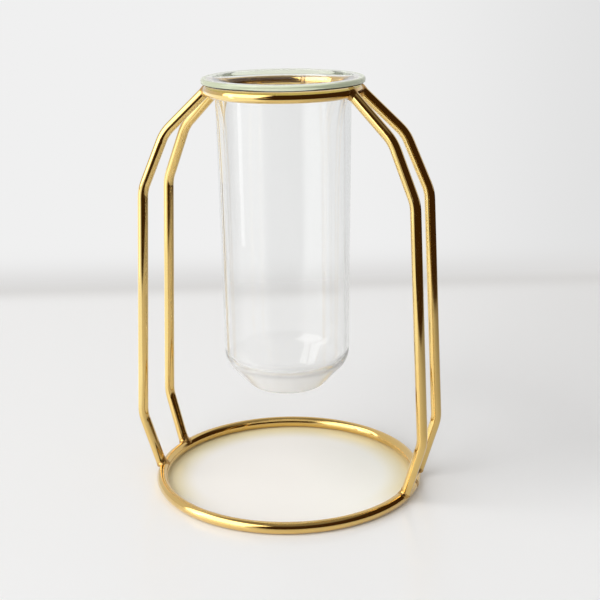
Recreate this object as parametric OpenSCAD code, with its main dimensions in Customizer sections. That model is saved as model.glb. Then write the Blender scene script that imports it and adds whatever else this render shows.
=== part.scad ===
// Test-tube flower vase: a flanged glass tube hanging in a bent-wire stand.
// Millimetres. The origin is on the table under the middle of the base ring, +Z is up,
// and the two pairs of legs stand on the -X and +X sides.

/* [Overall] */
// Height from the table to the top of the glass
overall_h = 155; // [135:1:230]

/* [Glass tube] */
// Outside diameter of the tube, under the flange
tube_d = 49.2; // [38:0.2:64]
// How much the tube's outside radius narrows from the flange down to the bottom
tube_taper = 1.1; // [0.1:0.1:1.3]
// Thickness of the tube's side wall, under the flange
tube_wall = 2.6; // [2.3:0.1:4]
// Length of the glass from the top of the flange to the underside
tube_length = 116.6; // [80:0.2:130]
// Thickness of the glass at the bottom
tube_base_t = 2; // [1.2:0.1:4]
// Width of the slope round the bottom, from the side to the flat underside
heel_w = 10.1; // [8:0.1:13]
// Height of the slope round the bottom
heel_h = 11.1; // [8:0.1:14]
// Outside radius where the side turns into the slope
knee_round = 8.6; // [5:0.1:10]
// Outside radius where the slope turns into the flat underside
heel_round = 7.2; // [5:0.1:9]
// Width of the flange outside the tube
flange_w = 4.9; // [4.6:0.1:9]
// Thickness of the flange
flange_t = 2.2; // [1.8:0.1:4]
// Radius of the flange's fire-polished rim
flange_round = 0.8; // [0.3:0.1:0.85]
// Radius of the glass fillet under the flange
neck_fillet = 0.9; // [0.3:0.1:1.2]
// Radius of the rounded mouth
mouth_round = 3.6; // [0.5:0.1:4.2]

/* [Wire] */
// Diameter of the wire of the legs and the top ring
wire_d = 4; // [3:0.1:5]
// Diameter of the wire of the base ring
base_wire_d = 4.4; // [3:0.1:6]
// Radius of the legs' bends, along the middle of the wire
bend_r = 15; // [8:0.5:20]
// How much thinner the wire's radius is where it has been bent
bend_thinning = 0.02; // [0.01:0.005:0.05]
// How far the thinned wire runs on into the straight wire beside a bend
bend_lap = 0.2; // [0.1:0.05:0.4]

/* [Fit] */
// Gap all round between the tube and the top ring
tube_clearance = 0.3; // [0.2:0.05:1.2]
// Gap between the flange and the top of the top ring
seat_gap = 0.2; // [0.15:0.05:0.5]

/* [Base ring] */
// Diameter of the base ring, along the middle of the wire
base_ring_d = 99; // [80:0.5:130]
// Depth of the flat that the ring stands on
land_depth = 0.15; // [0.1:0.01:0.3]

/* [Legs] */
// Angle between the two legs of a pair
pair_angle = 26; // [16:1:60]
// First bend: how far it stands out from the top ring's wire
shoulder_out = 17; // [12:0.1:22]
// First bend: how far it lies below the top ring's wire
shoulder_drop = 15.9; // [8:0.1:18]
// Second bend: how far it stands out from the top ring's wire
hip_out = 26; // [23:0.1:34]
// Second bend: how far it lies below the top ring's wire
hip_drop = 37.1; // [30:0.1:50]
// Third bend: how far it stands out from the base ring's wire
ankle_out = 7.6; // [4:0.1:10]
// Third bend: its height above the table
ankle_h = 24.9; // [20:0.1:40]

/* [Welds] */
// How far a leg's weld bead stands proud of its wire
bead_proud = 0.25; // [0.1:0.05:0.4]
// Length of the butt weld that closes each ring
seam_w = 1.4; // [0.6:0.1:3]
// How far the butt weld stands proud of the ring's wire
seam_proud = 0.06; // [0.02:0.01:0.1]

/* [Hidden] */
$fn = 96;

// Cuts run this far past the faces they open
overrun = 1;

// Short cones that each rounding at the bottom of the glass is made of
round_steps = 12;

// Direction and angle of the line from one point of a plane to another
function way(a, b) = (b - a) / norm(b - a);
function heading(a, b) = atan2(b[1] - a[1], b[0] - a[0]);

// Glass, worked out from the sizes above
tube_r = tube_d / 2;
foot_r = tube_r - tube_taper;
bore_r = tube_r - tube_wall;
flange_r = tube_r + flange_w;
tube_z = overall_h - tube_length;
neck_z = tube_length - flange_t - neck_fillet;
mouth_z = tube_length - mouth_round;

// Corners of the glass at the bottom before they are rounded, outside and inside
tube_heel = [foot_r - heel_w, 0];
tube_knee = [foot_r, heel_h];
slope = way(tube_heel, tube_knee);
inner_slope_at = tube_heel + tube_base_t * [-slope[1], slope[0]];
bore_heel = inner_slope_at + (tube_base_t - inner_slope_at[1]) / slope[1] * slope;
bore_knee = inner_slope_at + (bore_r - inner_slope_at[0]) / slope[0] * slope;

// Rings, along the middle of their wires
wire_r = wire_d / 2;
top_ring_r = tube_r + tube_clearance + wire_r;
top_ring_z = overall_h - flange_t - seat_gap - wire_r;
base_wire_r = base_wire_d / 2;
base_ring_r = base_ring_d / 2;
base_ring_z = base_wire_r - land_depth;

// Where the legs stand round the axis, and where the rings are closed
leg_half_angle = pair_angle / 2;
top_seam_azimuth = 90;
base_seam_azimuth = 0;

// The legs' ends, as shares of the wire they are cut from
top_aim_share = 0.12;
foot_aim_share = 0.18;
end_share = 0.28;
top_bead_share = 0.4;
foot_bead_share = 0.7;
foot_bead_in_share = 0.25;

// A leg's path in its own upright plane, as [distance from the axis, height]
top_aim = [top_ring_r, top_ring_z + top_aim_share * wire_d];
shoulder = [top_ring_r + shoulder_out, top_ring_z - shoulder_drop];
hip = [top_ring_r + hip_out, top_ring_z - hip_drop];
ankle = [base_ring_r + ankle_out, ankle_h];
foot_aim = [base_ring_r + foot_aim_share * wire_d, base_ring_z];

// The cut ends lie just short of the middle of the ring's wire
top_end = top_aim + end_share * wire_d * way(top_aim, shoulder);
foot_end = foot_aim + (base_wire_r - wire_r + end_share * wire_d) * way(foot_aim, ankle);

// Middle of each weld bead: on the leg's line at the top, and inside it at the foot
top_bead_at = top_aim + top_bead_share * wire_d * way(top_aim, shoulder);
foot_bead_at = foot_aim + (base_wire_r - wire_r + foot_bead_share * wire_d) * way(foot_aim, ankle)
    - [foot_bead_in_share * wire_d, 0];

// Points of the arc that rounds a corner, where an outline turns left on its way from a to b
function rounding(a, corner, b, r) =
    let (
        heading_in = heading(a, corner),
        turn = heading(corner, b) - heading_in,
        halfway = heading_in + turn / 2,
        middle = corner + r / cos(turn / 2) * [-sin(halfway), cos(halfway)]
    )
    [
        for (step = [0 : round_steps])
            let (heading_here = heading_in + turn * step / round_steps)
                middle + r * [sin(heading_here), -cos(heading_here)]
    ];

// Half outline of a tumbler: flat bottom, slope up to the knee, side up to the rim, and straight on up
module tumbler_section(heel, knee, rim, height, heel_r, knee_r) {
    middle = [0, heel[1]];
    polygon(concat(
        [middle],
        rounding(middle, heel, knee, heel_r),
        rounding(heel, knee, rim, knee_r),
        [rim, [rim[0], height], [0, height]]
    ));
}

// Half outline of the flange with its rounded rim, from the X axis up
module flange_section() {
    square([flange_r - flange_round, flange_t]);
    translate([0, flange_round])
        square([flange_r, flange_t - 2 * flange_round]);
    for (y = [flange_round, flange_t - flange_round])
        translate([flange_r - flange_round, y])
            circle(r = flange_round);
}

// Fillet that fills the corner between the tube and the flange above it
module neck_section() {
    difference() {
        square([tube_r + neck_fillet, neck_fillet]);
        translate([tube_r + neck_fillet, 0])
            circle(r = neck_fillet);
    }
}

// What the rounded mouth takes off the inner edge of the flange's top
module mouth_section() {
    difference() {
        square([bore_r + mouth_round, mouth_round + overrun]);
        translate([bore_r + mouth_round, 0])
            circle(r = mouth_round);
    }
}

// One blown piece of glass: tapering tube with a straight bore, rounded bottom and flat flange
module glass_tube() {
    color([0.82, 0.93, 0.88, 0.45])
        translate([0, 0, tube_z])
            rotate_extrude()
                difference() {
                    union() {
                        tumbler_section(tube_heel, tube_knee, [tube_r, neck_z], tube_length,
                            heel_round, knee_round);
                        translate([0, tube_length - flange_t])
                            flange_section();
                        translate([0, neck_z])
                            neck_section();
                    }
                    tumbler_section(bore_heel, bore_knee, [bore_r, mouth_z], tube_length + overrun,
                        heel_round - tube_base_t, knee_round - tube_base_t);
                    translate([0, mouth_z])
                        mouth_section();
                }
}

// A stretch of ring: wire bent round the axis, centred on an azimuth
module ring_arc(ring_r, ring_z, round_r, azimuth, sweep) {
    translate([0, 0, ring_z])
        rotate([0, 0, azimuth - sweep / 2])
            rotate_extrude(angle = sweep)
                translate([ring_r, 0])
                    circle(r = round_r);
}

// The whole round of a ring, for cutting what seats on it
module ring_round(ring_r, ring_z, round_r) {
    translate([0, 0, ring_z])
        rotate_extrude()
            translate([ring_r, 0])
                circle(r = round_r);
}

// Angle that a butt weld takes up on a ring
function seam_angle(ring_r) = seam_w / ring_r * 180 / PI;

module top_ring() {
    color([0.85, 0.66, 0.27])
        ring_arc(top_ring_r, top_ring_z, wire_r,
            top_seam_azimuth + 180, 360 - seam_angle(top_ring_r));
}

module top_ring_seam() {
    color([0.78, 0.58, 0.24])
        ring_arc(top_ring_r, top_ring_z, wire_r + seam_proud,
            top_seam_azimuth, seam_angle(top_ring_r));
}

// Everything below the table's surface, for the flat under the base ring
module under_table() {
    translate([0, 0, -base_wire_d])
        cylinder(r = base_ring_r + base_wire_d, h = base_wire_d);
}

module base_ring() {
    color([0.85, 0.66, 0.27])
        difference() {
            ring_arc(base_ring_r, base_ring_z, base_wire_r,
                base_seam_azimuth + 180, 360 - seam_angle(base_ring_r));
            under_table();
        }
}

module base_ring_seam() {
    color([0.78, 0.58, 0.24])
        difference() {
            ring_arc(base_ring_r, base_ring_z, base_wire_r + seam_proud,
                base_seam_azimuth, seam_angle(base_ring_r));
            under_table();
        }
}

// Half the turn of a bend sets how far its ends lie from the corner
function bend_reach(turn) = bend_r * tan(turn / 2);

// Angle by which a bend runs on into the straight wire at each end
lap_angle = bend_lap / bend_r * 180 / PI;

// Straight wire between two points of the plane, less what the bends at its ends take
module straight(a, b, reach_a, reach_b) {
    along = way(a, b);
    from = a + reach_a * along;
    translate([from[0], 0, from[1]])
        rotate([0, 90 - heading(a, b), 0])
            cylinder(r = wire_r, h = norm(b - a) - reach_a - reach_b);
}

// Wire bent round the inside of a corner, where the path comes in from a and leaves for b
module bend(a, corner, b) {
    heading_in = heading(a, corner);
    turn = heading_in - heading(corner, b);
    start = corner - bend_reach(turn) * way(a, corner);
    centre = start + bend_r * [sin(heading_in), -cos(heading_in)];
    translate([centre[0], 0, centre[1]])
        rotate([90, 0, 0])
            rotate([0, 0, 90 + heading_in - turn - lap_angle])
                rotate_extrude(angle = turn + 2 * lap_angle)
                    translate([bend_r, 0])
                        circle(r = wire_r - bend_thinning);
}

// One leg's wire before its ends are shaped to the rings, in the plane of X and Z
module leg_wire() {
    shoulder_reach = bend_reach(heading(top_end, shoulder) - heading(shoulder, hip));
    hip_reach = bend_reach(heading(shoulder, hip) - heading(hip, ankle));
    ankle_reach = bend_reach(heading(hip, ankle) - heading(ankle, foot_end));
    straight(top_end, shoulder, 0, shoulder_reach);
    bend(top_end, shoulder, hip);
    straight(shoulder, hip, shoulder_reach, hip_reach);
    bend(shoulder, hip, ankle);
    straight(hip, ankle, hip_reach, ankle_reach);
    bend(hip, ankle, foot_end);
    straight(ankle, foot_end, ankle_reach, 0);
}

// A leg at an azimuth, with both ends coped to sit on the rings
module leg(azimuth) {
    color([0.85, 0.66, 0.27])
        difference() {
            rotate([0, 0, azimuth])
                leg_wire();
            ring_round(top_ring_r, top_ring_z, wire_r);
            ring_round(base_ring_r, base_ring_z, base_wire_r);
        }
}

// Weld bead round a joint: a ball of filler less the two wires that it joins
module bead(azimuth, middle, ring_r, ring_z, round_r) {
    color([0.78, 0.58, 0.24])
        difference() {
            rotate([0, 0, azimuth])
                translate([middle[0], 0, middle[1]])
                    sphere(r = wire_r + bead_proud);
            rotate([0, 0, azimuth])
                leg_wire();
            ring_round(ring_r, ring_z, round_r);
        }
}

module top_bead(azimuth) {
    bead(azimuth, top_bead_at, top_ring_r, top_ring_z, wire_r);
}

module foot_bead(azimuth) {
    bead(azimuth, foot_bead_at, base_ring_r, base_ring_z, base_wire_r);
}

// Azimuths of the four legs, seen from the front with the pairs left and right
front_left = 180 + leg_half_angle;
back_left = 180 - leg_half_angle;
front_right = -leg_half_angle;
back_right = leg_half_angle;

module leg_front_left() leg(front_left);
module leg_back_left() leg(back_left);
module leg_front_right() leg(front_right);
module leg_back_right() leg(back_right);
module weld_top_front_left() top_bead(front_left);
module weld_top_back_left() top_bead(back_left);
module weld_top_front_right() top_bead(front_right);
module weld_top_back_right() top_bead(back_right);
module weld_foot_front_left() foot_bead(front_left);
module weld_foot_back_left() foot_bead(back_left);
module weld_foot_front_right() foot_bead(front_right);
module weld_foot_back_right() foot_bead(back_right);

glass_tube();
top_ring();
top_ring_seam();
base_ring();
base_ring_seam();
leg_front_left();
leg_back_left();
leg_front_right();
leg_back_right();
weld_top_front_left();
weld_top_back_left();
weld_top_front_right();
weld_top_back_right();
weld_foot_front_left();
weld_foot_back_left();
weld_foot_front_right();
weld_foot_back_right();
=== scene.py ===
import math

import bpy
import numpy as np
from mathutils import Matrix, Vector


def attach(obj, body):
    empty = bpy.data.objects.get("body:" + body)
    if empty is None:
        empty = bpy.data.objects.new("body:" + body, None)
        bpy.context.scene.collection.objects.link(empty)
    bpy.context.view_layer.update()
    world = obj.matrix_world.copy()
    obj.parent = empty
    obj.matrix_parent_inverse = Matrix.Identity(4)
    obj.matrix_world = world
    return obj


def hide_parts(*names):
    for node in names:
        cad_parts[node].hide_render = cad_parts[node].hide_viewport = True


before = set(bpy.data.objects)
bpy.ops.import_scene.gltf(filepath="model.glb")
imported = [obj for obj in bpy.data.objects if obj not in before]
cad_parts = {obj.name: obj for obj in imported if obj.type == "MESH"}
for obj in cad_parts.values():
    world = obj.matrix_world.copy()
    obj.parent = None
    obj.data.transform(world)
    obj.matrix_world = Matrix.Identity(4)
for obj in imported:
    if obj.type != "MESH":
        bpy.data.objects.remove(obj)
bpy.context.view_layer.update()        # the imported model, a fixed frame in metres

# A glass tube that hangs by its flange in a stand of gold-plated wire.
# The dictionaries hold millimetres and degrees; the meshes are in metres.
mm = 0.001
scene = bpy.context.scene

camera = {
    "azimuth": 18.484,       # how far it stands round to the right of the front
    "distance": 434.9,       # from the axis of the vase, measured along the table
    "height": 200.64,
    "yaw": -0.671,           # turned off the axis
    "pitch": 16.533,         # looking down
    "roll": -0.706,
    "lens": 72.15,
    "sensor": 36,
    "clip": (10, 60000),
}


# Unit vector at an angle round from the camera's side, to the right as it sees the vase, and at a height.
def toRoom(around, up=0.0):
    turn, rise = math.radians(camera["azimuth"] + around), math.radians(up)
    return Vector((math.sin(turn) * math.cos(rise), -math.cos(turn) * math.cos(rise), math.sin(rise)))


# The camera's axes: its line of sight from heading and pitch, then rolled about that line.
def placeCamera(look):
    heading = math.radians(look["azimuth"] + look["yaw"])
    pitch, roll = math.radians(look["pitch"]), math.radians(look["roll"])
    level = math.cos(pitch)
    ahead = Vector((-math.sin(heading) * level, math.cos(heading) * level, -math.sin(pitch)))
    right = Vector((math.cos(heading), math.sin(heading), 0))
    up = right.cross(ahead)
    sideways = math.cos(roll) * right + math.sin(roll) * up
    upwards = math.cos(roll) * up - math.sin(roll) * right
    spot = toRoom(0) * look["distance"] * mm + Vector((0, 0, look["height"] * mm))
    data = bpy.data.cameras.new("camera")
    data.lens, data.sensor_width = look["lens"], look["sensor"]
    data.clip_start, data.clip_end = look["clip"][0] * mm, look["clip"][1] * mm
    eye = bpy.data.objects.new("camera", data)
    eye.matrix_world = Matrix((sideways, upwards, -ahead)).transposed().to_4x4()
    eye.location = spot
    scene.collection.objects.link(eye)
    scene.camera = eye


placeCamera(camera)
scene.view_settings.view_transform = "Standard"
print("camera placed")


# sRGB hex to linear: c / 12.92 up to 0.04045, above that ((c + 0.055) / 1.055) to the power 2.4.
def fromHex(text):
    parts = [int(text[i:i + 2], 16) / 255 for i in (1, 3, 5)]
    return tuple(c / 12.92 if c <= 0.04045 else ((c + 0.055) / 1.055) ** 2.4 for c in parts) + (1.0,)


# Adds a node with its settings. Each input is a value or the output that feeds it, by socket name or number.
def addNode(tree, kind, settings, inputs):
    node = tree.nodes.new(kind)
    for name, value in settings.items():
        setattr(node, name, value)
    for socket, value in inputs.items():
        if isinstance(value, bpy.types.NodeSocket):
            tree.links.new(value, node.inputs[socket])
        else:
            node.inputs[socket].default_value = value
    return node


# A material with an empty node tree.
def newMaterial(name):
    material = bpy.data.materials.new(name)
    material.use_nodes = True
    material.node_tree.nodes.clear()
    return material


plating = {
    "gold": "#E8C676",
    "deepGold": "#E1BB69",      # where the plating lies a little thicker
    "cloudSize": 9,             # patches of that colour
    "roughness": (0.07, 0.13),  # from clean metal to where it was handled,
    "handledFrom": (0.35, 0.7), # between these values of the patches' noise
    "lineGap": 0.3,             # drawing lines; real ones are about 0.05 apart, too fine to show here
    "lineLength": 40,
    "lineDepth": 0.0022,
    "peelSize": 1.6,            # slight unevenness that plating leaves
    "peelDepth": 0.0016,
    "lacquerRoughness": 0.03,
    "lacquerIor": 1.5,
}


# Gold-plated steel wire, cold drawn, bent, plated bright and dipped in clear lacquer. Drawing leaves faint
# lines along the wire, the bright bath makes it nearly a mirror, handling leaves patches that are a little
# duller, and the lacquer lays a pale gloss over the gold.
def platedWire():
    material = newMaterial("gold_plated_wire")
    tree = material.node_tree
    place = addNode(tree, "ShaderNodeTexCoord", {}, {}).outputs["Object"]
    wire = addNode(tree, "ShaderNodeAttribute", {"attribute_name": "straightWire"}, {}).outputs["Vector"]
    clouds = addNode(tree, "ShaderNodeTexNoise", {}, {
        "Vector": place, "Scale": 1 / (plating["cloudSize"] * mm), "Detail": 2.0})
    colour = addNode(tree, "ShaderNodeMix", {"data_type": "RGBA"}, {
        "Factor": clouds.outputs["Fac"], "A": fromHex(plating["gold"]), "B": fromHex(plating["deepGold"])})
    handled = addNode(tree, "ShaderNodeMapRange", {}, {
        "Value": clouds.outputs["Fac"],
        "From Min": plating["handledFrom"][0], "From Max": plating["handledFrom"][1],
        "To Min": plating["roughness"][0], "To Max": plating["roughness"][1]})
    along, across = 1 / (plating["lineLength"] * mm), 1 / (plating["lineGap"] * mm)
    drawn = addNode(tree, "ShaderNodeMapping", {}, {"Vector": wire, "Scale": (along, across, across)})
    lines = addNode(tree, "ShaderNodeTexNoise", {}, {
        "Vector": drawn.outputs["Vector"], "Scale": 1.0, "Detail": 3.0})
    peel = addNode(tree, "ShaderNodeTexNoise", {}, {
        "Vector": place, "Scale": 1 / (plating["peelSize"] * mm), "Detail": 1.0})
    dents = addNode(tree, "ShaderNodeBump", {}, {
        "Height": peel.outputs["Fac"], "Distance": plating["peelDepth"] * mm, "Strength": 1.0})
    ridges = addNode(tree, "ShaderNodeBump", {}, {
        "Height": lines.outputs["Fac"], "Distance": plating["lineDepth"] * mm, "Strength": 1.0,
        "Normal": dents.outputs["Normal"]})
    metal = addNode(tree, "ShaderNodeBsdfPrincipled", {}, {
        "Base Color": colour.outputs["Result"], "Metallic": 1.0, "Roughness": handled.outputs["Result"],
        "Coat Weight": 1.0, "Coat Roughness": plating["lacquerRoughness"], "Coat IOR": plating["lacquerIor"],
        "Normal": ridges.outputs["Normal"]})
    addNode(tree, "ShaderNodeOutputMaterial", {}, {"Surface": metal.outputs["BSDF"]})
    return material


filler = {
    "gold": "#D9B36C",
    "scorch": "#B98B4C",        # darker in the hollows, where the bath reaches last
    "grainSize": 0.5,
    "grainDepth": 0.02,
    "roughness": (0.2, 0.38),   # from the tops to the hollows,
    "hollowFrom": (0.3, 0.7),   # between these values of the grain's noise
}


# Braze metal, melted into the joint, filed by hand and plated with the rest. It stays duller than the wire
# and slightly lumpy.
def platedFiller():
    material = newMaterial("gold_plated_braze")
    tree = material.node_tree
    place = addNode(tree, "ShaderNodeTexCoord", {}, {}).outputs["Object"]
    grain = addNode(tree, "ShaderNodeTexNoise", {}, {
        "Vector": place, "Scale": 1 / (filler["grainSize"] * mm), "Detail": 3.0})
    colour = addNode(tree, "ShaderNodeMix", {"data_type": "RGBA"}, {
        "Factor": grain.outputs["Fac"], "A": fromHex(filler["scorch"]), "B": fromHex(filler["gold"])})
    dull = addNode(tree, "ShaderNodeMapRange", {}, {
        "Value": grain.outputs["Fac"],
        "From Min": filler["hollowFrom"][0], "From Max": filler["hollowFrom"][1],
        "To Min": filler["roughness"][1], "To Max": filler["roughness"][0]})
    lumps = addNode(tree, "ShaderNodeBump", {}, {
        "Height": grain.outputs["Fac"], "Distance": filler["grainDepth"] * mm, "Strength": 1.0})
    metal = addNode(tree, "ShaderNodeBsdfPrincipled", {}, {
        "Base Color": colour.outputs["Result"], "Metallic": 1.0, "Roughness": dull.outputs["Result"],
        "Normal": lumps.outputs["Normal"]})
    addNode(tree, "ShaderNodeOutputMaterial", {}, {"Surface": metal.outputs["BSDF"]})
    return material


tubeGlass = {
    "ior": 1.52,
    "tint": "#D9F2E3",          # faint green of iron, which shows where one looks along the flange
    "density": 8.0,             # how much of it, per metre
    "waveSize": 7,              # gentle waves that blowing leaves
    "waveStretch": 4,           # how much longer they are upwards
    "waveDepth": 0.006,
    "rim": "#E4ECC8",           # the edge of the pressed flange is faintly green and hazy, warmed by a painted reflection of the gold ring
    "rimFrom": (27.0, 28.2),    # distances from the axis between which that comes in
    "rimHaze": 0.6,
    "bottomFrom": (46, 55),     # the bottom, shaped by hand in the flame, is hazy below these heights
    "bottomHaze": 0.65,
    "middle": 60,               # a height inside the tube, to tell its outside from its inside
}


# Soda-lime glass tube with a pressed and fire-polished flange. The flame leaves the wall perfectly clear
# and glossy, with gentle waves that bend a reflection a little. The outside of the flange's edge and of the
# bottom keeps a faint haze, which catches light as milky glass does.
# The tint of the flange's edge also holds a painted warm reflection of the gold ring under it.
def blownGlass():
    material = newMaterial("clear_soda_lime_glass")
    tree = material.node_tree
    place = addNode(tree, "ShaderNodeTexCoord", {}, {}).outputs["Object"]
    long = addNode(tree, "ShaderNodeMapping", {}, {
        "Vector": place, "Scale": (1, 1, 1 / tubeGlass["waveStretch"])})
    waves = addNode(tree, "ShaderNodeTexNoise", {}, {
        "Vector": long.outputs["Vector"], "Scale": 1 / (tubeGlass["waveSize"] * mm), "Detail": 1.0})
    bends = addNode(tree, "ShaderNodeBump", {}, {
        "Height": waves.outputs["Fac"], "Distance": tubeGlass["waveDepth"] * mm, "Strength": 1.0})
    level = addNode(tree, "ShaderNodeVectorMath", {"operation": "MULTIPLY"}, {0: place, 1: (1, 1, 0)})
    outward = addNode(tree, "ShaderNodeVectorMath", {"operation": "LENGTH"}, {0: level.outputs["Vector"]})
    rim = addNode(tree, "ShaderNodeMapRange", {"interpolation_type": "SMOOTHSTEP"}, {
        "Value": outward.outputs["Value"],
        "From Min": tubeGlass["rimFrom"][0] * mm, "From Max": tubeGlass["rimFrom"][1] * mm})
    height = addNode(tree, "ShaderNodeSeparateXYZ", {}, {"Vector": place}).outputs["Z"]
    bottom = addNode(tree, "ShaderNodeMapRange", {"interpolation_type": "SMOOTHSTEP"}, {
        "Value": height,
        "From Min": tubeGlass["bottomFrom"][0] * mm, "From Max": tubeGlass["bottomFrom"][1] * mm,
        "To Min": tubeGlass["bottomHaze"], "To Max": 0.0})
    fromMiddle = addNode(tree, "ShaderNodeVectorMath", {"operation": "SUBTRACT"}, {
        0: place, 1: (0, 0, tubeGlass["middle"] * mm)})
    facing = addNode(tree, "ShaderNodeNewGeometry", {}, {}).outputs["Normal"]
    outwards = addNode(tree, "ShaderNodeVectorMath", {"operation": "DOT_PRODUCT"}, {
        0: fromMiddle.outputs["Vector"], 1: facing})
    outside = addNode(tree, "ShaderNodeMath", {"operation": "GREATER_THAN"}, {
        0: outwards.outputs["Value"], 1: 0.0})
    haze = addNode(tree, "ShaderNodeMath", {"operation": "MULTIPLY_ADD"}, {
        0: rim.outputs["Result"], 1: tubeGlass["rimHaze"], 2: bottom.outputs["Result"]})
    hazy = addNode(tree, "ShaderNodeMath", {"operation": "MULTIPLY"}, {
        0: haze.outputs[0], 1: outside.outputs[0]})
    clear = addNode(tree, "ShaderNodeMath", {"operation": "SUBTRACT"}, {0: 1.0, 1: hazy.outputs[0]})
    # Painted warm reflection of the gold ring, mixed into the green of the flange's edge.
    colour = addNode(tree, "ShaderNodeMix", {"data_type": "RGBA"}, {
        "Factor": rim.outputs["Result"], "A": (1, 1, 1, 1), "B": fromHex(tubeGlass["rim"])})
    glass = addNode(tree, "ShaderNodeBsdfPrincipled", {}, {
        "Base Color": colour.outputs["Result"], "Roughness": 0.0, "IOR": tubeGlass["ior"],
        "Transmission Weight": clear.outputs[0], "Normal": bends.outputs["Normal"]})
    inside = addNode(tree, "ShaderNodeVolumeAbsorption", {}, {
        "Color": fromHex(tubeGlass["tint"]), "Density": tubeGlass["density"]})
    addNode(tree, "ShaderNodeOutputMaterial", {}, {
        "Surface": glass.outputs["BSDF"], "Volume": inside.outputs["Volume"]})
    return material


wireFinish, fillerFinish, glassFinish = platedWire(), platedFiller(), blownGlass()
print("finishes made")


# A grid with a point added in the middle of each of its end rows.
def withTips(grid):
    return np.concatenate([grid.reshape(-1, 3), grid[[0, -1]].mean(1)])


# Puts a grid of points, in millimetres, into a mesh. Rows follow the piece and columns go round it, so the
# columns close up, and a point in the middle of each end row closes that end. Faces are turned outwards by
# the sign of the volume they enclose. A second grid keeps each point's place on the straight wire.
def skinOver(name, grid, straight=None):
    rows, columns = grid.shape[:2]
    index = np.arange(rows * columns).reshape(rows, columns)
    here, there = index[:-1], index[1:]
    quads = np.stack([here, np.roll(here, -1, 1), np.roll(there, -1, 1), there], -1).reshape(-1, 4)
    first, last, tip = index[0], index[-1], np.full(columns, rows * columns)
    fans = np.concatenate([np.stack([tip, np.roll(first, -1), first], -1),
                           np.stack([tip + 1, last, np.roll(last, -1)], -1)])
    points = withTips(grid)
    a, b, c, d = np.moveaxis((points - points.mean(0))[quads], 1, 0)
    if (a * (np.cross(b, c) + np.cross(c, d))).sum() < 0:
        quads, fans = quads[:, ::-1], fans[:, ::-1]
    mesh = bpy.data.meshes.new(name)
    mesh.vertices.add(len(points))
    mesh.vertices.foreach_set("co", (points * mm).astype(np.float32).ravel())
    corners = np.concatenate([quads.ravel(), fans.ravel()]).astype(np.int32)
    mesh.loops.add(len(corners))
    mesh.loops.foreach_set("vertex_index", corners)
    mesh.polygons.add(len(quads) + len(fans))
    starts = np.concatenate([np.arange(len(quads)) * 4, len(quads) * 4 + np.arange(len(fans)) * 3])
    mesh.polygons.foreach_set("loop_start", starts.astype(np.int32))
    mesh.update(calc_edges=True)
    mesh.validate()
    mesh.shade_smooth()
    if straight is not None:
        kept = mesh.attributes.new("straightWire", "FLOAT_VECTOR", "POINT")
        kept.data.foreach_set("vector", (withTips(straight) * mm).astype(np.float32).ravel())
    piece = bpy.data.objects.new(name, mesh)
    scene.collection.objects.link(piece)
    return piece


# Gives a piece its finish and slot, the body that it rides on and the node that it stands for.
def dress(piece, finish, body, node):
    piece.data.materials.append(finish)
    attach(piece, body)
    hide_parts(node)


# Turns points about the upright axis: x cos - y sin, and x sin + y cos.
def turned(points, degrees):
    turn = math.radians(degrees)
    x, y, z = points[..., 0], points[..., 1], points[..., 2]
    return np.stack([x * math.cos(turn) - y * math.sin(turn), x * math.sin(turn) + y * math.cos(turn), z], -1)


# A vector over its length.
def unit(vector):
    return vector / np.linalg.norm(vector)


fewestPoints = 6         # on a straight stretch of a rounded line


# A line through corners, each rounded by an arc that touches both its sides. The arc begins before its
# corner, by the radius times the tangent of half the turn. Points stand a step apart, closer on the arcs.
# Returns the points and the line's direction at each, both as [distance from the axis, height].
def roundedLine(corners, rounds, step, arcPoints):
    corners = [np.array(c, float) for c in corners]
    path, ways, begin = [], [], corners[0]
    for before, corner, after, radius in zip(corners, corners[1:], corners[2:], rounds):
        into, onto = unit(corner - before), unit(after - corner)
        turn = math.acos(into @ onto)
        reach = radius * math.tan(turn / 2)
        count = max(fewestPoints, int(np.linalg.norm(corner - reach * into - begin) / step))
        path.append(np.linspace(begin, corner - reach * into, count, endpoint=False))
        ways.append(np.tile(into, (count, 1)))
        inward, middle = unit(onto - into), unit(into + onto)
        centre = corner + inward * radius / math.cos(turn / 2)
        count = max(arcPoints, int(turn * radius / step))
        share = np.linspace(-turn / 2, turn / 2, count, endpoint=False)[:, None]
        path.append(centre + radius * (np.sin(share) * middle - np.cos(share) * inward))
        ways.append(np.cos(share) * middle + np.sin(share) * inward)
        begin = corner + reach * onto
    count = max(fewestPoints, int(np.linalg.norm(corners[-1] - begin) / step))
    path.append(np.linspace(begin, corners[-1], count))
    ways.append(np.tile(unit(corners[-1] - begin), (count, 1)))
    return np.concatenate(path), np.concatenate(ways)


tube = {
    "top": 155.0,
    "foot": 38.4,            # its underside
    "radius": 24.6,          # outside, under the flange
    "footRadius": 23.5,      # outside, where the rounded bottom begins
    "flatRadius": 13.4,      # of the underside
    "slope": 11.1,           # height of the sloping part round the underside
    "bore": 22.0,
    "slopeWall": 2.0,
    "baseWall": 2.0,
    "kneeRound": 8.6,
    "heelRound": 7.2,
    "flangeRadius": 29.5,
    "flangeThickness": 2.2,
    "rimRound": 0.8,
    "neckFillet": 0.9,
    "mouthRound": 3.6,
    "pole": 0.3,             # radius of the last row at the middle of the underside and of the floor
    "step": 1.0,
    "arcPoints": 12,
    "columns": 192,
}


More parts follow.
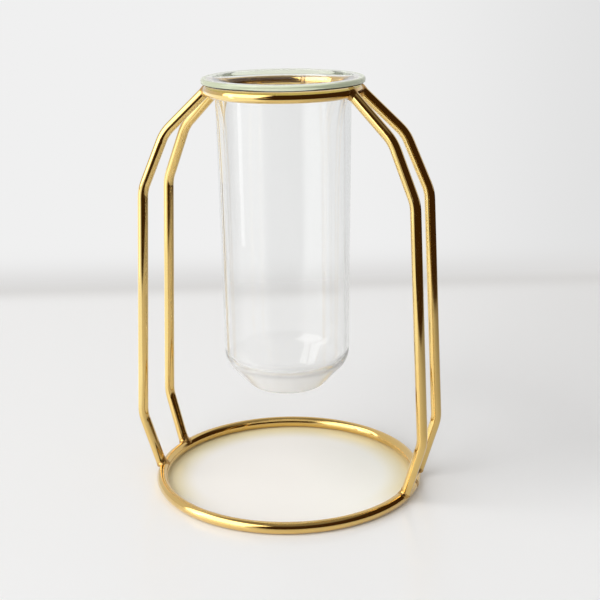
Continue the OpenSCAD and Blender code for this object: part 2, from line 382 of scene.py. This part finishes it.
# The glass as one closed skin: a rounded line from the middle of the underside, up the outside, round the
# flange and down the bore to the middle of the floor, turned about the axis.
def tubeSkin(t):
    knee, heel = np.array([t["footRadius"], t["foot"] + t["slope"]]), np.array([t["flatRadius"], t["foot"]])
    along = unit(knee - heel)
    inside = heel + t["slopeWall"] * np.array([-along[1], along[0]])
    floorIn = t["foot"] + t["baseWall"]
    heelIn = inside + along * (floorIn - inside[1]) / along[1]
    kneeIn = inside + along * (t["bore"] - inside[0]) / along[0]
    underFlange = t["top"] - t["flangeThickness"]
    corners = [(t["pole"], t["foot"]), heel, knee, (t["radius"], underFlange),
               (t["flangeRadius"], underFlange), (t["flangeRadius"], t["top"]), (t["bore"], t["top"]),
               kneeIn, heelIn, (t["pole"], floorIn)]
    rounds = [t["heelRound"], t["kneeRound"], t["neckFillet"], t["rimRound"], t["rimRound"], t["mouthRound"],
              t["kneeRound"] - t["slopeWall"], t["heelRound"] - t["baseWall"]]
    profile = roundedLine(corners, rounds, t["step"], t["arcPoints"])[0]
    around = np.linspace(0, 2 * np.pi, t["columns"], endpoint=False)
    r, z = profile[:, 0, None], profile[:, 1, None]
    return np.stack([r * np.cos(around), r * np.sin(around), z + 0 * around], -1)


dress(skinOver("clear_tube", tubeSkin(tube)), glassFinish, "glass", "glass_tube")
print("glass tube made")

upperRing = {"radius": 26.9, "height": 150.6, "wire": 2.0, "seamAt": 90, "columns": 44, "rows": 300}
lowerRing = {"radius": 49.5, "height": 2.05, "wire": 2.2, "seamAt": 0, "columns": 44, "rows": 420}
seam = {"width": 1.4, "proud": 0.06, "sunk": 0.03, "lap": 0.2, "rows": 15}


# Points on a ring's wire: out from the ring's middle line by the radius times the cosine round the section,
# up by the radius times the sine, and never below the table.
def wireRound(ring, around, section, radius):
    out = ring["radius"] + radius * np.cos(section) + 0 * around
    z = np.maximum(ring["height"] + radius * np.sin(section) + 0 * around, 0)
    skin = np.stack([out * np.cos(around), out * np.sin(around), z], -1)
    straight = np.stack([ring["radius"] * around + 0 * section, radius * np.cos(section) + 0 * around,
                         radius * np.sin(section) + 0 * around], -1)
    return skin, straight


# A ring of wire: a circle of the wire's radius carried round the axis, over all of the ring but the seam's
# width. The lower one stands on the flat that it was pressed to, so no point lies below the table.
def ringSkin(ring):
    gap = seam["width"] / ring["radius"] / 2
    around = (math.radians(ring["seamAt"]) + np.linspace(gap, 2 * np.pi - gap, ring["rows"]))[:, None]
    section = np.linspace(0, 2 * np.pi, ring["columns"], endpoint=False)[None, :]
    return wireRound(ring, around, section, ring["wire"])


# The weld that closes a ring: the same wire, swelling from just under its surface to a low crown and back, by
# one less the fourth power of the share of its half length.
def seamSkin(ring):
    half = (seam["width"] / 2 + seam["lap"]) / ring["radius"]
    share = np.linspace(-1, 1, seam["rows"])[:, None]
    section = np.linspace(0, 2 * np.pi, ring["columns"], endpoint=False)[None, :]
    swell = ring["wire"] - seam["sunk"] + (seam["proud"] + seam["sunk"]) * (1 - share ** 4)
    return wireRound(ring, math.radians(ring["seamAt"]) + half * share, section, swell)


for name, ring in (("top_ring", upperRing), ("base_ring", lowerRing)):
    dress(skinOver(f"{name}_wire", *ringSkin(ring)), wireFinish, "stand", name)
    dress(skinOver(f"{name}_seam_weld", *seamSkin(ring)), fillerFinish, "stand", f"{name}_seam")
print("rings made")

leg = {
    "wire": 2.0,
    "bend": 15.0,
    "corners": [(26.9, 151.08), (43.9, 134.7), (52.9, 113.5), (57.1, 24.9), (50.22, 2.05)],
    "bendThinning": 0.02,    # off the wire's radius in a bend,
    "bendLeast": 1e-6,       # which is where the direction changes by more than this
    "topShort": 1.12,        # how far the cut ends stop short of the rings' middles
    "footShort": 1.32,
    "endRound": 0.5,
    "endRows": 7,            # across that rounding,
    "endClear": 0.6,         # and no other row this close to the end
    "step": 0.5,
    "arcPoints": 12,
    "columns": 40,
}
legTurns = {"front_left": 193, "back_left": 167, "front_right": -13, "back_right": 13}


# A leg: a circle of the wire's radius carried along the rounded line through its corners, a touch thinner in
# the bends. Near each end the radius follows a quarter circle, which is the rounded edge of the cut.
def legSkin(shape, azimuth):
    corners = [np.array(c) for c in shape["corners"]]
    corners[0] = corners[0] + shape["topShort"] * unit(corners[1] - corners[0])
    corners[-1] = corners[-1] + shape["footShort"] * unit(corners[-2] - corners[-1])
    path, ways = roundedLine(corners, [shape["bend"]] * 3, shape["step"], shape["arcPoints"])
    rows = shape["endRows"]
    edge = shape["endRound"] * (1 - np.cos(np.linspace(0, np.pi / 2, rows)))[:, None]
    head, tail = path[0] + edge * ways[0], path[-1] - edge[::-1] * ways[-1]
    toEnd = np.minimum(np.linalg.norm(path - path[0], axis=1), np.linalg.norm(path - path[-1], axis=1))
    inner = toEnd > shape["endClear"]
    path = np.concatenate([head, path[inner], tail])
    ways = np.concatenate([np.tile(ways[0], (rows, 1)), ways[inner], np.tile(ways[-1], (rows, 1))])
    run = np.concatenate([[0], np.cumsum(np.linalg.norm(np.diff(path, axis=0), axis=1))])
    left = np.minimum(np.minimum(run, run[-1] - run) / shape["endRound"], 1)
    bent = np.linalg.norm(np.gradient(ways, axis=0), axis=1) > shape["bendLeast"]
    radius = shape["wire"] - shape["bendThinning"] * bent
    radius = (radius - shape["endRound"] * (1 - np.sqrt(1 - (1 - left) ** 2)))[:, None]
    section = np.linspace(0, 2 * np.pi, shape["columns"], endpoint=False)[None, :]
    across, sideways = radius * np.cos(section), radius * np.sin(section)
    out = path[:, 0, None] - ways[:, 1, None] * across
    z = path[:, 1, None] + ways[:, 0, None] * across
    straight = np.stack([run[:, None] + 0 * across, across, sideways], -1)
    return turned(np.stack([out, sideways, z], -1), azimuth), straight


for name, azimuth in legTurns.items():
    wire = skinOver(f"leg_{name}_wire", *legSkin(leg, azimuth))
    dress(wire, wireFinish, "stand", f"leg_{name}")
print("legs made")

bead = {
    "topAt": 1.6,            # its middle, from the ring's middle along the leg
    "footAt": 3.0,
    "footIn": 1.0,           # the foot's bead lies this much nearer the axis
    "reach": 3.3,            # it ends inside the wires, this far from its middle
    "fillet": 1.5,           # how widely leg and ring run together
    "swell": 0.16,
    "swellReach": 1.7,
    "sunk": 0.03,            # elsewhere it lies just under the wires' surfaces
    "lumps": 0.05,
    "lumpWaves": ((2.1, 1.3, 1.7), (-1.1, 2.3, 1.9)),    # two directions, in radians per millimetre
    "lumpShift": {"top": 1.7, "foot": 2.3},              # from leg to leg, in radians
    "searchStep": 0.05,
    "halvings": 14,
    "rows": 48,
    "columns": 64,
}


# Two distances run together: the smaller one, less a quarter of the overlap squared, within a width.
def melt(a, b, width):
    overlap = np.maximum(width - np.abs(a - b), 0) / width
    return np.minimum(a, b) - overlap ** 2 * width / 4


# How far points lie outside the filler: the distances to the leg's wire and to the ring's, run together,
# less a swelling that fades away from the middle of the joint, and cut off by a ball. Lumps on the swelling
# are the product of two sines.
def outsideBead(points, middle, legStart, legWay, ring, lumpPhase):
    off = points - legStart
    run = np.maximum(off @ legWay, 0)[..., None]
    toLeg = np.linalg.norm(off - run * legWay, axis=-1) - leg["wire"]
    outward = np.hypot(points[..., 0], points[..., 1]) - ring["radius"]
    toRing = np.hypot(outward, points[..., 2] - ring["height"]) - ring["wire"]
    away = np.linalg.norm(points - middle, axis=-1)
    first, second = (np.array(wave) for wave in bead["lumpWaves"])
    lump = np.sin(points @ first + lumpPhase) * np.sin(points @ second)
    grown = (bead["swell"] + bead["lumps"] * lump) * np.exp(-(away / bead["swellReach"]) ** 4) - bead["sunk"]
    return np.maximum(melt(toLeg, toRing, bead["fillet"]) - grown, away - bead["reach"])


# The filler's skin: in every direction from its middle, the first distance at which it ends, found on
# coarse steps and then by halving.
def beadSkin(aim, nextCorner, start, middle, ring, azimuth, lumpPhase):
    way = unit(np.array(nextCorner) - np.array(aim))
    legWay = np.array([way[0], 0, way[1]])
    legStart = np.array([aim[0] + start * way[0], 0, aim[1] + start * way[1]])
    centre = np.array([middle[0], 0, middle[1]])
    tilt = np.radians(np.linspace(0, 180, bead["rows"] + 2)[1:-1])[:, None]
    section = np.linspace(0, 2 * np.pi, bead["columns"], endpoint=False)[None, :]
    rays = np.stack([np.sin(tilt) * np.cos(section), np.cos(tilt) + 0 * section,
                     np.sin(tilt) * np.sin(section)], -1)
    near = np.full(rays.shape[:2], 0.0)
    far = np.full(rays.shape[:2], bead["reach"])
    found = np.zeros(rays.shape[:2], bool)
    for distance in np.arange(bead["searchStep"], bead["reach"] + bead["searchStep"], bead["searchStep"]):
        outside = outsideBead(centre + rays * distance, centre, legStart, legWay, ring, lumpPhase) > 0
        far = np.where(outside & ~found, distance, far)
        near = np.where(~outside & ~found, distance, near)
        found |= outside
    for _ in range(bead["halvings"]):
        half = (near + far) / 2
        outside = outsideBead(centre + rays * half[..., None], centre, legStart, legWay, ring, lumpPhase) > 0
        near, far = np.where(outside, near, half), np.where(outside, half, far)
    skin = centre + rays * near[..., None]
    skin[..., 2] = np.maximum(skin[..., 2], bead["sunk"])
    return turned(skin, azimuth)


top, shoulder, ankle, foot = (np.array(leg["corners"][i]) for i in (0, 1, 3, 4))
topMiddle = top + bead["topAt"] * unit(shoulder - top)
footMiddle = foot + bead["footAt"] * unit(ankle - foot) - np.array([bead["footIn"], 0])
joints = {"top": (top, shoulder, leg["topShort"], topMiddle, upperRing),
          "foot": (foot, ankle, leg["footShort"], footMiddle, lowerRing)}
for count, (name, azimuth) in enumerate(legTurns.items()):
    for end, joint in joints.items():
        weld = skinOver(f"weld_{end}_{name}_bead", beadSkin(*joint, azimuth, count * bead["lumpShift"][end]))
        dress(weld, fillerFinish, "stand", f"weld_{end}_{name}")
print("weld beads made")

room = {
    "floorSize": 24000,
    "table": "#F5F5F5",            # smooth white table, satin lacquered
    "tableRoughness": 0.28,
    "tableIor": 1.5,
    "tableShade": "#EAEAEA",       # the table's tone towards the right, where less light comes in,
    "shadeBack": (-30, 40),        # except in front: distances behind the axis where that begins
    "inRing": "#FBF8F3",           # inside the base ring, which throws warm light back,
    "inRingRight": "#FFFFF8",      # most of it on the right
    "inRingEdge": (40, 49),
    "fringe": "#F2E7BE",           # and yellow light close to the wire,
    "fringeFrom": (35, 47),        # between these distances from the axis,
    "fringeTo": 49.5,
    "fringeBack": (-32, -12),      # except in front
    "lightAt": (48, 32),           # middle of a patch of light that falls through the glass, to the right of
    "lightReach": (88, 15),        # and behind the axis, and distances from it between which it comes in
    "lightTone": "#FAFAFA",
    "backdrop": "#F0F0F0",         # the pale ground past the table, on the left and on the right
    "backdropShade": "#E0E0E0",
    "shade": (0.03, 0.32),         # sideways slopes between which the shade on the right comes in,
    "shadeFrom": 430,              # fanning out from a point this far in front of the vase
    "coveDistance": 278,           # the table's far edge, a soft line of painted shade,
    "coveSlope": 0.05,             # a little farther off on the right
    "coveWidth": (18, 50),         # on its near and its far side
    # the tone of that painted shade
    "coveShade": "#DDDCDB",
    "bothWays": 2.5,               # a ray past more surfaces than this went through the glass both ways
    "seen": "#EFEFEF",             # the world as the camera and the glass see it
    "fill": "#C7C7C7",             # and as it lights the table and the vase
    "pale": "#DEDAD5",             # walls that the metal mirrors
    "dim": "#3E2912",              # unlit part of the room, brown, in front and to the right
    "dimAround": 45,               # the middle of that part, round from the camera and up
    "dimUp": 30,
    "dimEdge": (0.29, 0.46),       # cosines from that middle between which it fades in
    "tableReach": (350, 275),      # the metal sees a painted dark reflection past this far to the right and in front
    "darkReflectionEdge": (0.85, 1.05),     # shares of that reach between which the painted dark fades in
    "tableLeft": (-0.75, -0.5),    # but not to the left: sines of the angle round where that begins
    "tableFade": (20, 330),        # to the right it darkens between these distances,
    "tableFaded": 0.6,             # by this share
    "glare": "#E9F3FF",            # to the left the window glares on it, a little cool,
    "glareStrength": 1.5,
    "glareFrom": (80, 150),        # beyond these distances from the axis
    "glareLeft": (-0.35, -0.7),    # and past these sines of the angle round
    "ceiling": "#918C85",
    "ceilingHeight": (0.74, 0.93), # sines of the heights between which the ceiling begins
}


# How far a direction points into the dim part of the room, from zero to one, by the cosine of its angle to
# the middle of that part.
def dimPart(tree, direction):
    level = addNode(tree, "ShaderNodeVectorMath", {"operation": "NORMALIZE"}, {0: direction})
    near = addNode(tree, "ShaderNodeVectorMath", {"operation": "DOT_PRODUCT"}, {
        0: level.outputs["Vector"], 1: toRoom(room["dimAround"], room["dimUp"])})
    fade = addNode(tree, "ShaderNodeMapRange", {"interpolation_type": "SMOOTHSTEP"}, {
        "Value": near.outputs["Value"], "From Min": room["dimEdge"][0], "From Max": room["dimEdge"][1]})
    return fade.outputs["Result"]


# Two numbers: one for what the metal mirrors, seen straight or through the glass, and one for what the
# camera sees straight or through the glass. Metal reflects a ray softly and glass leaves it sharp, and a
# ray that was reflected behind the glass has passed more than two of its surfaces. A ray off a matt face
# counts for neither.
def waysOfSeeing(tree):
    path = addNode(tree, "ShaderNodeLightPath", {}, {}).outputs
    soft = addNode(tree, "ShaderNodeMath", {"operation": "SUBTRACT"}, {
        0: path["Is Glossy Ray"], 1: path["Is Singular Ray"]})
    bounced = addNode(tree, "ShaderNodeMath", {"operation": "MINIMUM"}, {0: path["Glossy Depth"], 1: 1.0})
    through = addNode(tree, "ShaderNodeMath", {"operation": "GREATER_THAN"}, {
        0: path["Transmission Depth"], 1: room["bothWays"]})
    behind = addNode(tree, "ShaderNodeMath", {"operation": "MULTIPLY"}, {
        0: bounced.outputs[0], 1: through.outputs[0]})
    either = addNode(tree, "ShaderNodeMath", {"operation": "MAXIMUM"}, {
        0: soft.outputs[0], 1: behind.outputs[0]})
    unscattered = addNode(tree, "ShaderNodeMath", {"operation": "LESS_THAN"}, {
        0: path["Diffuse Depth"], 1: 0.5})
    mirrored = addNode(tree, "ShaderNodeMath", {"operation": "MULTIPLY"}, {
        0: either.outputs[0], 1: unscattered.outputs[0]})
    sharp = addNode(tree, "ShaderNodeMath", {"operation": "MAXIMUM"}, {
        0: path["Is Camera Ray"], 1: path["Is Singular Ray"]})
    return mirrored.outputs[0], sharp.outputs[0]


# The world: even and pale. A reflection shows a room in it: pale walls, a dim brown part and a grey ceiling.
def makeWorld():
    world = bpy.data.worlds.new("room")
    world.use_nodes = True
    tree = world.node_tree
    tree.nodes.clear()
    mirrored, sharp = waysOfSeeing(tree)
    direction = addNode(tree, "ShaderNodeTexCoord", {}, {}).outputs["Generated"]
    height = addNode(tree, "ShaderNodeSeparateXYZ", {}, {"Vector": direction}).outputs["Z"]
    overhead = addNode(tree, "ShaderNodeMapRange", {"interpolation_type": "SMOOTHSTEP"}, {
        "Value": height, "From Min": room["ceilingHeight"][0], "From Max": room["ceilingHeight"][1]})
    walls = addNode(tree, "ShaderNodeMix", {"data_type": "RGBA"}, {
        "Factor": dimPart(tree, direction), "A": fromHex(room["pale"]), "B": fromHex(room["dim"])})
    inside = addNode(tree, "ShaderNodeMix", {"data_type": "RGBA"}, {
        "Factor": overhead.outputs["Result"], "A": walls.outputs["Result"], "B": fromHex(room["ceiling"])})
    light = addNode(tree, "ShaderNodeMix", {"data_type": "RGBA"}, {
        "Factor": sharp, "A": fromHex(room["fill"]), "B": fromHex(room["seen"])})
    colour = addNode(tree, "ShaderNodeMix", {"data_type": "RGBA"}, {
        "Factor": mirrored, "A": light.outputs["Result"], "B": inside.outputs["Result"]})
    around = addNode(tree, "ShaderNodeBackground", {}, {"Color": colour.outputs["Result"], "Strength": 1.0})
    addNode(tree, "ShaderNodeOutputWorld", {}, {"Surface": around.outputs["Background"]})
    scene.world = world


# Where a point of the floor lies as the camera sees it: its place turned so that x is across and y is away,
# its distance from the axis, and how far to the right it lies round the axis, as a sine.
def floorPlace(tree):
    place = addNode(tree, "ShaderNodeTexCoord", {}, {}).outputs["Object"]
    laid = addNode(tree, "ShaderNodeMapping", {}, {
        "Vector": place, "Rotation": (0, 0, -math.radians(camera["azimuth"] + camera["yaw"]))})
    parts = addNode(tree, "ShaderNodeSeparateXYZ", {}, {"Vector": laid.outputs["Vector"]})
    length = addNode(tree, "ShaderNodeVectorMath", {"operation": "LENGTH"}, {0: place})
    around = addNode(tree, "ShaderNodeVectorMath", {"operation": "NORMALIZE"}, {0: laid.outputs["Vector"]})
    level = addNode(tree, "ShaderNodeSeparateXYZ", {}, {"Vector": around.outputs["Vector"]})
    return {"laid": laid.outputs["Vector"], "across": parts.outputs["X"], "away": parts.outputs["Y"],
            "fromAxis": length.outputs["Value"], "toRight": level.outputs["X"]}


# The table's far edge. Returns how strongly its soft line of painted shade shows, as one over e to the square
# of the distance from it in widths, and a number that goes from zero on the table to one on the backdrop.
def farEdge(tree, at):
    level = addNode(tree, "ShaderNodeMath", {"operation": "MULTIPLY_ADD"}, {
        0: at["across"], 1: -room["coveSlope"], 2: at["away"]})
    past = addNode(tree, "ShaderNodeMath", {"operation": "SUBTRACT"}, {
        0: level.outputs[0], 1: room["coveDistance"] * mm})
    nearShare = addNode(tree, "ShaderNodeMath", {"operation": "DIVIDE"}, {
        0: past.outputs[0], 1: -room["coveWidth"][0] * mm})
    farShare = addNode(tree, "ShaderNodeMath", {"operation": "DIVIDE"}, {
        0: past.outputs[0], 1: room["coveWidth"][1] * mm})
    share = addNode(tree, "ShaderNodeMath", {"operation": "MAXIMUM"}, {
        0: nearShare.outputs[0], 1: farShare.outputs[0]})
    square = addNode(tree, "ShaderNodeMath", {"operation": "MULTIPLY"}, {
        0: share.outputs[0], 1: share.outputs[0]})
    drop = addNode(tree, "ShaderNodeMath", {"operation": "MULTIPLY"}, {0: square.outputs[0], 1: -1.0})
    line = addNode(tree, "ShaderNodeMath", {"operation": "EXPONENT"}, {0: drop.outputs[0]})
    beyond = addNode(tree, "ShaderNodeMapRange", {"interpolation_type": "SMOOTHSTEP"}, {
        "Value": past.outputs[0],
        "From Min": -room["coveWidth"][0] * mm, "From Max": room["coveWidth"][0] * mm})
    return line.outputs[0], beyond.outputs["Result"]


# How deep the shade on the right is, from zero to one: its edges fan out from a point in front of the vase, so
# it goes by the distance across over the distance from that point.
def rightShade(tree, at):
    reach = addNode(tree, "ShaderNodeMath", {"operation": "ADD"}, {0: at["away"], 1: room["shadeFrom"] * mm})
    fan = addNode(tree, "ShaderNodeMath", {"operation": "DIVIDE"}, {0: at["across"], 1: reach.outputs[0]})
    shade = addNode(tree, "ShaderNodeMapRange", {"interpolation_type": "SMOOTHSTEP"}, {
        "Value": fan.outputs[0], "From Min": room["shade"][0], "From Max": room["shade"][1]})
    return shade.outputs["Result"]


# The table's tone with painted light: white, with painted shade towards the right, and a painted patch of
# light where light falls on it through the glass.
def tableWithPaintedLight(tree, at, shade):
    back = addNode(tree, "ShaderNodeMapRange", {"interpolation_type": "SMOOTHSTEP"}, {
        "Value": at["away"], "From Min": room["shadeBack"][0] * mm, "From Max": room["shadeBack"][1] * mm})
    deep = addNode(tree, "ShaderNodeMath", {"operation": "MULTIPLY"}, {0: shade, 1: back.outputs["Result"]})
    white = addNode(tree, "ShaderNodeMix", {"data_type": "RGBA"}, {
        "Factor": deep.outputs[0], "A": fromHex(room["table"]), "B": fromHex(room["tableShade"])})
    fromPatch = addNode(tree, "ShaderNodeVectorMath", {"operation": "DISTANCE"}, {
        0: at["laid"], 1: (room["lightAt"][0] * mm, room["lightAt"][1] * mm, 0)})
    patch = addNode(tree, "ShaderNodeMapRange", {"interpolation_type": "SMOOTHSTEP"}, {
        "Value": fromPatch.outputs["Value"],
        "From Min": room["lightReach"][0] * mm, "From Max": room["lightReach"][1] * mm})
    lit = addNode(tree, "ShaderNodeMix", {"data_type": "RGBA"}, {
        "Factor": patch.outputs["Result"], "A": white.outputs["Result"], "B": fromHex(room["lightTone"])})
    return lit.outputs["Result"]


# The same tone with painted light that the base ring throws back: warm inside it, and yellow close to its
# wire.
def ringLight(tree, at, tone):
    within = addNode(tree, "ShaderNodeMapRange", {"interpolation_type": "SMOOTHSTEP"}, {
        "Value": at["fromAxis"], "To Min": 1.0, "To Max": 0.0,
        "From Min": room["inRingEdge"][0] * mm, "From Max": room["inRingEdge"][1] * mm})
    across = addNode(tree, "ShaderNodeMapRange", {}, {
        "Value": at["across"], "From Min": 0.0, "From Max": room["inRingEdge"][0] * mm})
    thrown = addNode(tree, "ShaderNodeMix", {"data_type": "RGBA"}, {
        "Factor": across.outputs["Result"], "A": fromHex(room["inRing"]), "B": fromHex(room["inRingRight"])})
    warmed = addNode(tree, "ShaderNodeMix", {"data_type": "RGBA"}, {
        "Factor": within.outputs["Result"], "A": tone, "B": thrown.outputs["Result"]})
    nearWire = addNode(tree, "ShaderNodeMapRange", {"interpolation_type": "SMOOTHSTEP"}, {
        "Value": at["fromAxis"],
        "From Min": room["fringeFrom"][0] * mm, "From Max": room["fringeFrom"][1] * mm})
    inWire = addNode(tree, "ShaderNodeMath", {"operation": "LESS_THAN"}, {
        0: at["fromAxis"], 1: room["fringeTo"] * mm})
    behind = addNode(tree, "ShaderNodeMapRange", {"interpolation_type": "SMOOTHSTEP"}, {
        "Value": at["away"], "From Min": room["fringeBack"][0] * mm, "From Max": room["fringeBack"][1] * mm})
    yellow = addNode(tree, "ShaderNodeMath", {"operation": "MULTIPLY"}, {
        0: nearWire.outputs["Result"], 1: behind.outputs["Result"]})
    fringe = addNode(tree, "ShaderNodeMath", {"operation": "MULTIPLY"}, {
        0: yellow.outputs[0], 1: inWire.outputs[0]})
    ringLitTone = addNode(tree, "ShaderNodeMix", {"data_type": "RGBA"}, {
        "Factor": fringe.outputs[0], "A": warmed.outputs["Result"], "B": fromHex(room["fringe"])})
    return ringLitTone.outputs["Result"]


# How strongly the metal sees a painted dark reflection on the table, from zero to one. In front and to the
# right it comes in by the length of its x and y, each over its reach, and to the right it darkens with the
# distance.
def paintedDarkReflection(tree, at):
    turnedRound = addNode(tree, "ShaderNodeVectorMath", {"operation": "MULTIPLY"}, {
        0: at["laid"], 1: (1, -1, 0)})
    nearSide = addNode(tree, "ShaderNodeVectorMath", {"operation": "MAXIMUM"}, {
        0: turnedRound.outputs["Vector"], 1: (0, 0, 0)})
    reached = addNode(tree, "ShaderNodeVectorMath", {"operation": "DIVIDE"}, {
        0: nearSide.outputs["Vector"], 1: (room["tableReach"][0] * mm, room["tableReach"][1] * mm, 1)})
    length = addNode(tree, "ShaderNodeVectorMath", {"operation": "LENGTH"}, {0: reached.outputs["Vector"]})
    pastReach = addNode(tree, "ShaderNodeMapRange", {"interpolation_type": "SMOOTHSTEP"}, {
        "Value": length.outputs["Value"],
        "From Min": room["darkReflectionEdge"][0], "From Max": room["darkReflectionEdge"][1]})
    notLeft = addNode(tree, "ShaderNodeMapRange", {"interpolation_type": "SMOOTHSTEP"}, {
        "Value": at["toRight"], "From Min": room["tableLeft"][0], "From Max": room["tableLeft"][1]})
    darkAhead = addNode(tree, "ShaderNodeMath", {"operation": "MULTIPLY"}, {
        0: pastReach.outputs["Result"], 1: notLeft.outputs["Result"]})
    fades = addNode(tree, "ShaderNodeMapRange", {}, {
        "Value": at["across"], "To Max": room["tableFaded"],
        "From Min": room["tableFade"][0] * mm, "From Max": room["tableFade"][1] * mm})
    dark = addNode(tree, "ShaderNodeMath", {"operation": "MAXIMUM"}, {
        0: darkAhead.outputs[0], 1: fades.outputs["Result"]})
    return dark.outputs[0]


# How far the metal sees the window glare on the table, from zero to one: on the left, away from the vase.
def leftGlare(tree, at):
    farEnough = addNode(tree, "ShaderNodeMapRange", {"interpolation_type": "SMOOTHSTEP"}, {
        "Value": at["fromAxis"],
        "From Min": room["glareFrom"][0] * mm, "From Max": room["glareFrom"][1] * mm})
    atLeft = addNode(tree, "ShaderNodeMapRange", {"interpolation_type": "SMOOTHSTEP"}, {
        "Value": at["toRight"], "From Min": room["glareLeft"][0], "From Max": room["glareLeft"][1]})
    glaring = addNode(tree, "ShaderNodeMath", {"operation": "MULTIPLY"}, {
        0: farEnough.outputs["Result"], 1: atLeft.outputs["Result"]})
    return glaring.outputs[0]


# The floor is one level sheet: a smooth board, sprayed white and lacquered satin, as far as the table's edge,
# and past that the pale backdrop, which only the camera and the glass see. Its colour holds painted shade and
# painted light, and to the metal it shows a painted glare of the window and a painted dark reflection.
def makeFloor():
    material = newMaterial("satin_white_table")
    tree = material.node_tree
    mirrored, sharp = waysOfSeeing(tree)
    at = floorPlace(tree)
    line, beyond = farEdge(tree, at)
    shade = rightShade(tree, at)
    near = addNode(tree, "ShaderNodeMix", {"data_type": "RGBA"}, {
        "Factor": line, "A": ringLight(tree, at, tableWithPaintedLight(tree, at, shade)), "B": fromHex(room["coveShade"])})
    satin = addNode(tree, "ShaderNodeBsdfPrincipled", {}, {
        "Base Color": near.outputs["Result"], "Roughness": room["tableRoughness"], "IOR": room["tableIor"]})
    pale = addNode(tree, "ShaderNodeMix", {"data_type": "RGBA"}, {
        "Factor": shade, "A": fromHex(room["backdrop"]), "B": fromHex(room["backdropShade"])})
    far = addNode(tree, "ShaderNodeMix", {"data_type": "RGBA"}, {
        "Factor": line, "A": pale.outputs["Result"], "B": fromHex(room["coveShade"])})
    backdrop = addNode(tree, "ShaderNodeEmission", {}, {"Color": far.outputs["Result"], "Strength": 1.0})
    shown = addNode(tree, "ShaderNodeMath", {"operation": "MULTIPLY"}, {0: beyond, 1: sharp})
    ground = addNode(tree, "ShaderNodeMixShader", {}, {
        0: shown.outputs[0], 1: satin.outputs["BSDF"], 2: backdrop.outputs["Emission"]})
    # Painted glare of the window: an emission on the table that only the metal sees.
    inMetal = addNode(tree, "ShaderNodeMath", {"operation": "SUBTRACT", "use_clamp": True}, {
        0: mirrored, 1: sharp})
    glared = addNode(tree, "ShaderNodeMath", {"operation": "MULTIPLY"}, {
        0: leftGlare(tree, at), 1: inMetal.outputs[0]})
    glare = addNode(tree, "ShaderNodeEmission", {}, {
        "Color": fromHex(room["glare"]), "Strength": room["glareStrength"]})
    bright = addNode(tree, "ShaderNodeMixShader", {}, {
        0: glared.outputs[0], 1: ground.outputs["Shader"], 2: glare.outputs["Emission"]})
    # Painted dark reflection: the room's unlit part, painted onto the table where the metal sees it.
    paintedDarkShare = addNode(tree, "ShaderNodeMath", {"operation": "MULTIPLY"}, {0: paintedDarkReflection(tree, at), 1: mirrored})
    unlit = addNode(tree, "ShaderNodeEmission", {}, {"Color": fromHex(room["dim"]), "Strength": 1.0})
    both = addNode(tree, "ShaderNodeMixShader", {}, {
        0: paintedDarkShare.outputs[0], 1: bright.outputs["Shader"], 2: unlit.outputs["Emission"]})
    addNode(tree, "ShaderNodeOutputMaterial", {}, {"Surface": both.outputs["Shader"]})
    half = room["floorSize"] * mm / 2
    corners = [(-half, -half, 0), (half, -half, 0), (half, half, 0), (-half, half, 0)]
    mesh = bpy.data.meshes.new("floor")
    mesh.from_pydata(corners, [], [(0, 1, 2, 3)])
    mesh.materials.append(material)
    floor = bpy.data.objects.new("floor", mesh)
    scene.collection.objects.link(floor)


# A wide window on the left, and an upright strip beside the table, which only gloss shows. Both are given by
# degrees round from the camera and up, and in millimetres.
lamps = {
    "window": {"around": -65, "up": 33, "distance": 3000, "lift": 0,
               "width": 3500, "height": 3200, "radiance": 2.5},
    "strip": {"around": -77, "up": 0, "distance": 340, "lift": 162,
              "width": 46, "height": 300, "radiance": 1.6},
}


# A lamp is a rectangle that faces the vase. Its power is radiance times pi times its area.
def makeLamp(name, shape):
    data = bpy.data.lights.new(name, "AREA")
    data.shape = "RECTANGLE"
    data.size, data.size_y = shape["width"] * mm, shape["height"] * mm
    data.energy = shape["radiance"] * math.pi * data.size * data.size_y
    lamp = bpy.data.objects.new(name, data)
    away = toRoom(shape["around"], shape["up"])
    lamp.location = away * shape["distance"] * mm + Vector((0, 0, shape["lift"] * mm))
    lamp.rotation_euler = away.to_track_quat("Z", "Y").to_euler()
    lamp.visible_camera = False
    lamp.visible_diffuse = lamp.visible_transmission = name == "window"
    scene.collection.objects.link(lamp)


makeWorld()
makeFloor()
for name, shape in lamps.items():
    makeLamp(name, shape)
print("room made")
